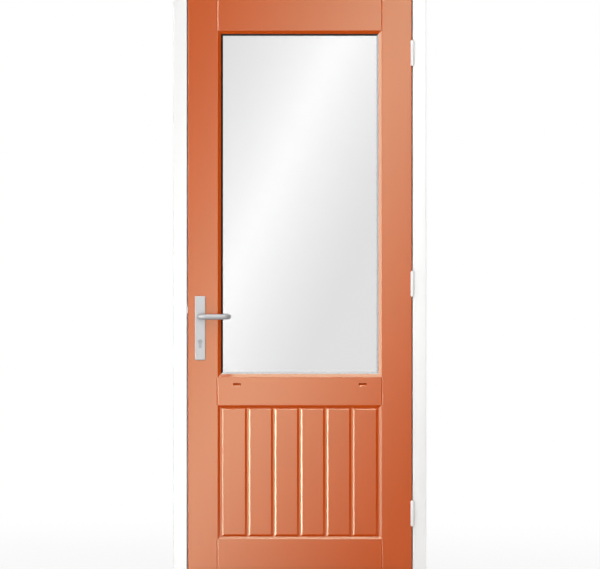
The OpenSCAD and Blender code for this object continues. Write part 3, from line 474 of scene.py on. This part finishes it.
def makePanel():
    near = 1e-5
    low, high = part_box("grooved_panel")
    rise, bevel, count = panelRelief["rise"], panelRelief["bevel"], panelRelief["fields"]
    pitch = (panelRelief["run"] + panelRelief["groove"]) / count
    starts = [i * pitch - panelRelief["run"] / 2 for i in range(count)]
    spans = [[x, x + pitch - panelRelief["groove"]] for x in starts]
    spans[0][0] -= panelRelief["extra"]
    spans[-1][1] += panelRelief["extra"]
    bottom, top = panelRelief["foot"]
    deselectAll()
    bpy.ops.mesh.primitive_cube_add(size=1, location=(low + high) / 2)
    panel = bpy.context.object
    panel.name = "groovedPanel"
    panel.scale = (high.x - low.x, high.y - low.y - 2 * rise, high.z - low.z)
    bpy.ops.object.transform_apply(location=True, rotation=False, scale=True)
    bpy.ops.object.mode_set(mode="EDIT")
    cuts = [((x, 0, 0), (1, 0, 0)) for x0, x1 in spans for x in (x0, x0 + bevel, x1 - bevel, x1)]
    cuts += [((0, 0, z), (0, 0, 1)) for z in (bottom, bottom + bevel, top - bevel, top)]
    for place, way in cuts:
        bpy.ops.mesh.select_all(action="SELECT")
        bpy.ops.mesh.bisect(plane_co=place, plane_no=way)

    def onField(co, inset):
        inside = any(x0 + inset - near < co.x < x1 - inset + near for x0, x1 in spans)
        return inside and bottom + inset - near < co.z < top - inset + near

    def isCorner(co, inset):
        level = min(abs(co.z - bottom - inset), abs(co.z - top + inset)) < near
        ends = [x for x0, x1 in spans for x in (x0 + inset, x1 - inset)]
        return level and min(abs(co.x - x) for x in ends) < near

    shape = bmesh.from_edit_mesh(panel.data)
    for vert in shape.verts:  # the mitres at the corners of the fields
        vert.select_set(isCorner(vert.co, 0) or isCorner(vert.co, bevel))
    bmesh.update_edit_mesh(panel.data)
    bpy.ops.mesh.vert_connect()
    for side, face in ((-1, low.y + rise), (1, high.y - rise)):
        bpy.ops.mesh.select_mode(type="VERT")
        bpy.ops.mesh.select_all(action="DESELECT")
        shape = bmesh.from_edit_mesh(panel.data)
        for vert in shape.verts:
            vert.select_set(abs(vert.co.y - face) < near and onField(vert.co, bevel))
        bmesh.update_edit_mesh(panel.data)
        bpy.ops.transform.translate(value=(0, side * rise, 0))
    bpy.ops.object.mode_set(mode="OBJECT")
    roundEdges(panel, panelRelief["round"], panelRelief["steps"])
    smoothOver(panel, leafTimber["smooth"])
    dress(panel, orangeUpright, "leaf", "orange_paint", "grooved_panel")


makePanel()
print("panel modelled")


# the frame's timber and the threshold

frameTimber = {
    "round": 0.0012,
    "steps": 3,
    "smooth": 34,
    "pieces": [
        ("lock_jamb", whiteUpright, "white_paint"), ("hinge_jamb", whiteUpright, "white_paint"),
        ("head", whiteLevel, "white_paint"), ("threshold", stone, "dark_stone"),
    ],
}
for node, material, slot in frameTimber["pieces"]:
    piece = copyOfNode(node, plainName(node))
    roundEdges(piece, frameTimber["round"], frameTimber["steps"])
    smoothOver(piece, frameTimber["smooth"])
    dress(piece, material, "frame", slot, node)
print("frame dressed")


# metalwork that keeps its solid's shape, with eased edges

metalwork = {
    "smooth": 32,
    "steps": 2,
    "pieces": [  # node, body, finish, slot, easing of the edges
        ("outside_plate", "leaf", handleMetal, "satin_handle", 0.0006),
        ("inside_plate", "leaf", handleMetal, "satin_handle", 0.0006),
        ("cylinder_body", "leaf", cylinderMetal, "satin_handle", 0.0003),
        ("outside_plug", "outside_key_plug", cylinderMetal, "satin_handle", 0.0002),
        ("inside_plug", "inside_key_plug", cylinderMetal, "satin_handle", 0.0002),
        ("faceplate", "leaf", lockSteel, "lock_steel", 0.0003),
        ("strike_plate", "frame", lockSteel, "lock_steel", 0.0003),
        ("latch_bolt", "latch", lockSteel, "lock_steel", 0.0004),
        ("dead_bolt", "bolt", lockSteel, "lock_steel", 0.0004),
        ("bottom_leaf_flap", "leaf", hingeWhite, "white_metal", 0.0003),
        ("middle_leaf_flap", "leaf", hingeWhite, "white_metal", 0.0003),
        ("top_leaf_flap", "leaf", hingeWhite, "white_metal", 0.0003),
        ("bottom_frame_flap", "frame", hingeWhite, "white_metal", 0.0003),
        ("middle_frame_flap", "frame", hingeWhite, "white_metal", 0.0003),
        ("top_frame_flap", "frame", hingeWhite, "white_metal", 0.0003),
        ("bottom_pin", "frame", hingeWhite, "white_metal", 0.0004),
        ("middle_pin", "frame", hingeWhite, "white_metal", 0.0004),
        ("top_pin", "frame", hingeWhite, "white_metal", 0.0004),
    ],
}
for node, body, material, slot, easing in metalwork["pieces"]:
    piece = copyOfNode(node, plainName(node))
    roundEdges(piece, easing, metalwork["steps"])
    smoothOver(piece, metalwork["smooth"])
    dress(piece, material, body, slot, node)
print("metalwork dressed")


# the levers: a round bar, bent to run along the leaf and bent back at its end

lever = {
    "axis": (-0.369, 0.974),
    "radius": 0.01,
    "bend": 0.02,
    "out": 0.052,  # from the face of the leaf to the middle of the bar
    "neck": 0.0005,  # start of the neck
    "returnAt": -0.286,  # start of the second bend
    "stub": 0.009,
    "endRound": 0.002,
    "endSteps": 5,
    "sides": 48,
    "steps": 12,  # in each bend
    "smooth": 40,
    "socket": (0.0082, 0.031),  # hole for the spindle: width, and depth from the leaf's face
    "socketRim": 0.0005,
    "mirrorAt": 0.054,  # the inside lever is the outside one mirrored
}


def drawOut(way):
    bpy.ops.mesh.extrude_region_move(TRANSFORM_OT_translate={"value": way})


def pickFaces(piece, wanted):
    bpy.ops.mesh.select_mode(type="FACE")
    bpy.ops.mesh.select_all(action="DESELECT")
    for face in bmesh.from_edit_mesh(piece.data).faces:
        if wanted(face.normal, face.calc_center_median()):
            face.select_set(True)
    bmesh.update_edit_mesh(piece.data)


def sinkRecess(piece, rim, onCap, cuts, inRecess, way):
    takeHold(piece)
    bpy.ops.object.mode_set(mode="EDIT")
    pickFaces(piece, onCap)
    bpy.ops.mesh.inset(thickness=rim)
    for place, across in cuts:
        pickFaces(piece, onCap)
        bpy.ops.mesh.bisect(plane_co=place, plane_no=across)
    pickFaces(piece, lambda normal, co: onCap(normal, co) and inRecess(co))
    drawOut(way)
    bpy.ops.mesh.select_all(action="SELECT")
    bpy.ops.mesh.normals_make_consistent(inside=False)
    bpy.ops.object.mode_set(mode="OBJECT")


def makeLever(node, inside):
    axisX, axisZ = lever["axis"]
    bend, barY = lever["bend"], -lever["out"]
    deselectAll()
    bpy.ops.mesh.primitive_circle_add(
        vertices=lever["sides"], radius=lever["radius"], fill_type="NGON",
        location=(axisX, -lever["neck"], axisZ), rotation=(math.radians(90), 0, 0),
    )
    piece = bpy.context.object
    piece.name = plainName(node)
    bpy.ops.object.transform_apply(location=True, rotation=True, scale=True)
    bpy.ops.object.mode_set(mode="EDIT")
    bpy.ops.mesh.select_all(action="SELECT")
    turn = {"steps": lever["steps"], "angle": math.radians(-90), "axis": (0, 0, 1)}
    drawOut((0, barY + bend + lever["neck"], 0))
    bpy.ops.mesh.spin(center=(axisX + bend, barY + bend, axisZ), **turn)
    drawOut((lever["returnAt"] - axisX - bend, 0, 0))
    bpy.ops.mesh.spin(center=(lever["returnAt"], barY + bend, axisZ), **turn)
    drawOut((0, lever["stub"], 0))
    bpy.ops.mesh.bevel(offset=lever["endRound"], segments=lever["endSteps"], affect="EDGES")
    bpy.ops.mesh.select_all(action="SELECT")
    bpy.ops.mesh.remove_doubles(threshold=1e-6)
    bpy.ops.mesh.normals_make_consistent(inside=False)
    bpy.ops.object.mode_set(mode="OBJECT")
    width, depth = lever["socket"]
    reach = lever["radius"] - lever["socketRim"]

    def onCap(normal, co):
        away = math.hypot(co.x - axisX, co.z - axisZ)
        return normal.y > 0.99 and co.y > -2 * lever["neck"] and away < reach

    def inSocket(co):
        return max(abs(co.x - axisX), abs(co.z - axisZ)) < width / 2

    cuts = [((axisX + side * width / 2, 0, 0), (1, 0, 0)) for side in (-1, 1)]
    cuts += [((0, 0, axisZ + side * width / 2), (0, 0, 1)) for side in (-1, 1)]
    sinkRecess(piece, lever["socketRim"], onCap, cuts, inSocket, (0, lever["neck"] - depth, 0))
    if inside:
        takeHold(piece)
        piece.scale.y = -1
        piece.location.y = lever["mirrorAt"]
        bpy.ops.object.transform_apply(location=True, rotation=False, scale=True)
        bpy.ops.object.mode_set(mode="EDIT")
        bpy.ops.mesh.select_all(action="SELECT")
        bpy.ops.mesh.normals_make_consistent(inside=False)
        bpy.ops.object.mode_set(mode="OBJECT")
    smoothOver(piece, lever["smooth"])
    dress(piece, leverMetal, "levers", "satin_handle", node)


makeLever("outside_lever", False)
makeLever("inside_lever", True)
print("levers modelled")


# countersunk screws and bolts with a cross recess

hinges = {
    "heights": (0.246, 1.096, 1.951),
    "screws": [(0.0127, -0.0345), (0.028, -0.0148), (0.028, 0.0148), (0.0127, 0.0345)],  # depth, height
}


def hingePlaces(x):
    return [(x, depth, z + height) for z in hinges["heights"] for depth, height in hinges["screws"]]


fixings = {
    "sides": 32,
    "rim": 0.0002,
    "rimSteps": 2,
    "point": 0.2,  # easing of the far end, as a share of the shank
    "cross": (0.6, 0.0011, 0.0022),  # length as a share of the head, width, depth
    "crossRim": 0.0004,
    "smooth": 32,
    "sets": [  # node, body, head, shank, length, the way that they point, places of the heads
        ("faceplate_screws", "leaf", 0.009, 0.0045, 0.03, (1, 0, 0),
            [(-0.415, 0.027, z) for z in (0.813, 1.03)]),
        ("cylinder_screw", "leaf", 0.009, 0.005, 0.048, (1, 0, 0), [(-0.415, 0.027, 0.8615)]),
        ("strike_screws", "frame", 0.009, 0.0045, 0.03, (-1, 0, 0),
            [(-0.4185, 0.027, z) for z in (0.884, 0.952, 1.021)]),
        ("leaf_hinge_screws", "leaf", 0.009, 0.0045, 0.035, (-1, 0, 0), hingePlaces(0.415)),
        ("frame_hinge_screws", "frame", 0.009, 0.0045, 0.035, (1, 0, 0), hingePlaces(0.4185)),
        ("plate_bolts", "leaf", 0.011, 0.005, 0.059, (0, -1, 0),
            [(-0.369, 0.063, z) for z in (0.828, 1.036)]),
    ],
}


def makeScrew(head, shank, length):
    deselectAll()
    bpy.ops.mesh.primitive_circle_add(vertices=fixings["sides"], radius=head / 2, fill_type="NGON")
    screw = bpy.context.object
    bpy.ops.object.mode_set(mode="EDIT")
    bpy.ops.mesh.select_all(action="SELECT")
    drawOut((0, 0, -(head - shank) / 2))
    bpy.ops.transform.resize(value=(shank / head, shank / head, 1))
    drawOut((0, 0, -length + (head - shank) / 2))
    bpy.ops.mesh.bevel(offset=shank * fixings["point"], segments=1, affect="EDGES")
    bpy.ops.mesh.select_all(action="SELECT")
    bpy.ops.mesh.normals_make_consistent(inside=False)
    bpy.ops.object.mode_set(mode="OBJECT")
    share, width, depth = fixings["cross"]
    reach = head / 2 - fixings["crossRim"]

    def onCap(normal, co):
        return normal.z > 0.99 and math.hypot(co.x, co.y) < reach

    def inCross(co):
        short, long = sorted((abs(co.x), abs(co.y)))
        return short < width / 2 and long < head * share / 2

    edges = [side * size / 2 for side in (-1, 1) for size in (width, head * share)]
    cuts = [((x, 0, 0), (1, 0, 0)) for x in edges] + [((0, y, 0), (0, 1, 0)) for y in edges]
    sinkRecess(screw, fixings["crossRim"], onCap, cuts, inCross, (0, 0, -depth))

    def atPoint(face):
        return face.calc_center_median().z < -0.9 * length

    roundEdges(screw, fixings["rim"], fixings["rimSteps"], sharpest=40, hidden=atPoint)
    return screw


def makeFixings(node, body, head, shank, length, way, places):
    pattern = makeScrew(head, shank, length)
    turn = Vector(way).to_track_quat("-Z", "Y").to_matrix().to_4x4()
    copies = []
    for place in places:
        mesh = pattern.data.copy()
        mesh.transform(Matrix.Translation(place) @ turn)
        copies.append(bpy.data.objects.new(plainName(node), mesh))
        scene.collection.objects.link(copies[-1])
    bpy.data.objects.remove(pattern)
    takeHold(copies[0])
    for screw in copies:
        screw.select_set(True)
    if len(copies) > 1:
        bpy.ops.object.join()
    smoothOver(copies[0], fixings["smooth"])
    dress(copies[0], lockSteel, body, "lock_steel", node)


for row in fixings["sets"]:
    makeFixings(*row)
print("screws modelled")


# nodes that stay as they are and only take a finish

kept = {
    glass: ["outer_pane", "inner_pane"],
    sealRubber: [
        "lock_side_seal", "hinge_side_seal", "head_seal", "threshold_seal",
        "glazing_seal", "glazing_tape", "edge_sealant",
    ],
    spacerMetal: ["spacer_bar"],
    blackPlastic: ["setting_blocks"],
    beech: ["rail_dowels"],
    lockSteel: ["lock_case", "case_cover", "spindle", "follower", "cam"],
}
for material, members in kept.items():
    for node in members:
        nodes[node].data.materials.clear()
        nodes[node].data.materials.append(material)
print("kept nodes finished")


# camera

cameraSetup = {
    "lens": 200,
    "sensor": 36,
    "imageWidth": 600,
    "perPixel": 0.003705,  # metres of the leaf's face in one pixel
    "aim": (0.0007, 0.0, 1.0935),
}


def setCamera():
    data = bpy.data.cameras.new("camera")
    camera = bpy.data.objects.new("camera", data)
    scene.collection.objects.link(camera)
    data.lens = cameraSetup["lens"]
    data.sensor_width = cameraSetup["sensor"]
    width = cameraSetup["imageWidth"] * cameraSetup["perPixel"]
    distance = width * cameraSetup["lens"] / cameraSetup["sensor"]
    camera.location = Vector(cameraSetup["aim"]) - Vector((0, distance, 0))
    camera.rotation_euler = (math.radians(90), 0, 0)
    data.clip_end = 200
    scene.camera = camera


setCamera()
print("camera set")


# light

lights = {  # strength is the radiance of the lamp's face
    "leftGrazing": {
        "at": (-3.2, -0.6, 1.2), "aim": (0, -0.02, 1.2), "size": (0.7, 3.4), "strength": 9.0,
        "shows": "gloss",
    },
    "topGrazing": {
        "at": (0, -0.65, 4.5), "aim": (0, -0.02, 1.0), "size": (3.0, 0.7), "strength": 9.0,
        "shows": "gloss",
    },
    "leftStrip": {
        "at": (-2.95, -1.37, 1.2), "aim": (0, 0, 1.2), "size": (0.3, 3.4), "strength": 34.0,
        "shows": "gloss",
    },
    "topStrip": {
        "at": (0, -1.52, 3.95), "aim": (0, 0, 0.8), "size": (3.0, 0.3), "strength": 32.0,
        "shows": "gloss",
    },
    "softKey": {
        "at": (-2.2, -2.6, 3.4), "aim": (-0.2, 0, 1.1), "size": (1.6, 1.6), "strength": 4.0,
        "shows": "matte",
    },
    "inside": {"at": (1.2, 4.2, 2.8), "aim": (0, 0, 1.1), "size": (2.6, 2.6), "strength": 4.0},
}
ambient = 0.28  # of the white surroundings, as light on matte surfaces


def addLight(name, at, aim, size, strength, shows="both"):
    data = bpy.data.lights.new(name, "AREA")
    data.shape = "RECTANGLE"
    data.size, data.size_y = size
    data.energy = strength * size[0] * size[1] * math.pi
    light = bpy.data.objects.new(name, data)
    scene.collection.objects.link(light)
    light.location = at
    way = Vector(aim) - Vector(at)
    light.rotation_euler = way.to_track_quat("-Z", "Y").to_euler()  # its height stays upright
    light.visible_camera = False
    light.visible_transmission = False
    light.visible_diffuse = shows != "gloss"
    light.visible_glossy = shows != "matte"


for name, setup in lights.items():
    addLight(name, **setup)

bandLight = {
    "distance": 3.0,
    "centre": (-0.03, 1.17),
    "lean": 24.6,  # degrees from upright
    "halfWidth": 1.0,
    "length": 3.4,
    "strength": 7.1,
    "falloff": 1.4,  # above 1 the band has a sharper middle
    "least": 0.8,  # strength at its edges
}


def addBandLight():
    deselectAll()
    bpy.ops.mesh.primitive_grid_add(x_subdivisions=2, y_subdivisions=2, size=1)
    panel = bpy.context.object
    panel.name = "bandLight"
    panel.scale = (2 * bandLight["halfWidth"], bandLight["length"], 1)
    panel.rotation_euler = (math.radians(-90), math.radians(bandLight["lean"]), 0)
    panel.location = (bandLight["centre"][0], -bandLight["distance"], bandLight["centre"][1])
    material = bpy.data.materials.new("bandGlow")
    material.use_nodes = True
    tree = material.node_tree
    tree.nodes.remove(tree.nodes["Principled BSDF"])
    wire = Wire(tree)
    offMiddle = wire.add("Math", {"operation": "ABSOLUTE"}, {0: wire.along("X")})
    ramp = wire.maths("POWER", 1 - 2 * offMiddle, bandLight["falloff"])
    glow = bandLight["least"] + (bandLight["strength"] - bandLight["least"]) * ramp
    back = wire.add("NewGeometry", out="Backfacing")
    glow = wire.add("Emission", {}, {"Color": (1, 1, 1, 1), "Strength": glow * (1 - back)})
    tree.links.new(glow.socket, tree.nodes["Material Output"].inputs["Surface"])
    panel.data.materials.append(material)
    panel.visible_camera = False
    panel.visible_transmission = False


addBandLight()

flags = {  # dark boards that only reflections show
    "rightFlag": {"at": (2.4, -1.65, 2.11), "size": (4.18, 3.1), "turn": 90},
    "floorFlag": {"at": (0, -0.56, -0.15), "size": (4.4, 1.08), "turn": 0},
}


def addFlag(name, at, size, turn):
    deselectAll()
    bpy.ops.mesh.primitive_plane_add(size=1, location=at, rotation=(0, math.radians(turn), 0))
    flag = bpy.context.object
    flag.name = name
    flag.scale = (*size, 1)
    felt = newMaterial(name + "Felt", Base_Color=(0.02, 0.02, 0.02, 1), Roughness=0.95)[0]
    flag.data.materials.append(felt)
    flag.visible_camera = False
    flag.visible_diffuse = False
    flag.visible_transmission = False
    flag.visible_shadow = False


for name, setup in flags.items():
    addFlag(name, **setup)

world = bpy.data.worlds.new("studio")
scene.world = world
world.use_nodes = True
seen = Wire(world.node_tree).seenBy("Camera", "Glossy", "Transmission")
background = world.node_tree.nodes["Background"]
background.inputs["Color"].default_value = (1, 1, 1, 1)
world.node_tree.links.new((ambient + (1 - ambient) * seen).socket, background.inputs["Strength"])
print("light set")


# floor

floorSetup = {
    "size": 9.0,
    "white": 0.85,  # how far the camera sees the floor as plain background, near the door
    "fade": (0.6, 3.6),  # distances at which it starts to turn, and is all background
    "grains": 300.0,
    "roughness": (0.7, 0.2),  # at the least, and what the grains add
}


def addFloor():
    deselectAll()
    bpy.ops.mesh.primitive_grid_add(x_subdivisions=2, y_subdivisions=2, size=floorSetup["size"])
    floor = bpy.context.object
    floor.name = "floor"
    material, wire, shader = newMaterial("paleFloor", Base_Color=(0.86, 0.86, 0.86, 1))
    least, added = floorSetup["roughness"]
    feed(wire, shader, Roughness=least + added * wire.noise(wire.place(), floorSetup["grains"]))
    here = wire.add("TexCoord", out="Object")
    away = wire.add("VectorMath", {"operation": "LENGTH"}, {0: here}, "Value")
    start, end = floorSetup["fade"]
    away = wire.add("MapRange", {"interpolation_type": "SMOOTHSTEP"}, {
        "Value": away, "From Min": start, "From Max": end, "To Min": floorSetup["white"], "To Max": 1.0,
    })
    share = wire.seenBy("Camera", "Transmission") * away
    plain = wire.add("Emission", {}, {"Color": (1, 1, 1, 1), "Strength": 1.0})
    mixed = wire.add("MixShader", {}, {0: share, 1: Wire(wire.tree, shader.outputs[0]), 2: plain})
    wire.tree.links.new(mixed.socket, wire.tree.nodes["Material Output"].inputs["Surface"])
    floor.data.materials.append(material)
    floor.visible_glossy = False  # so the foot of the door mirrors the band's lower end too


addFloor()
scene.view_settings.view_transform = "Standard"
print("stage set")
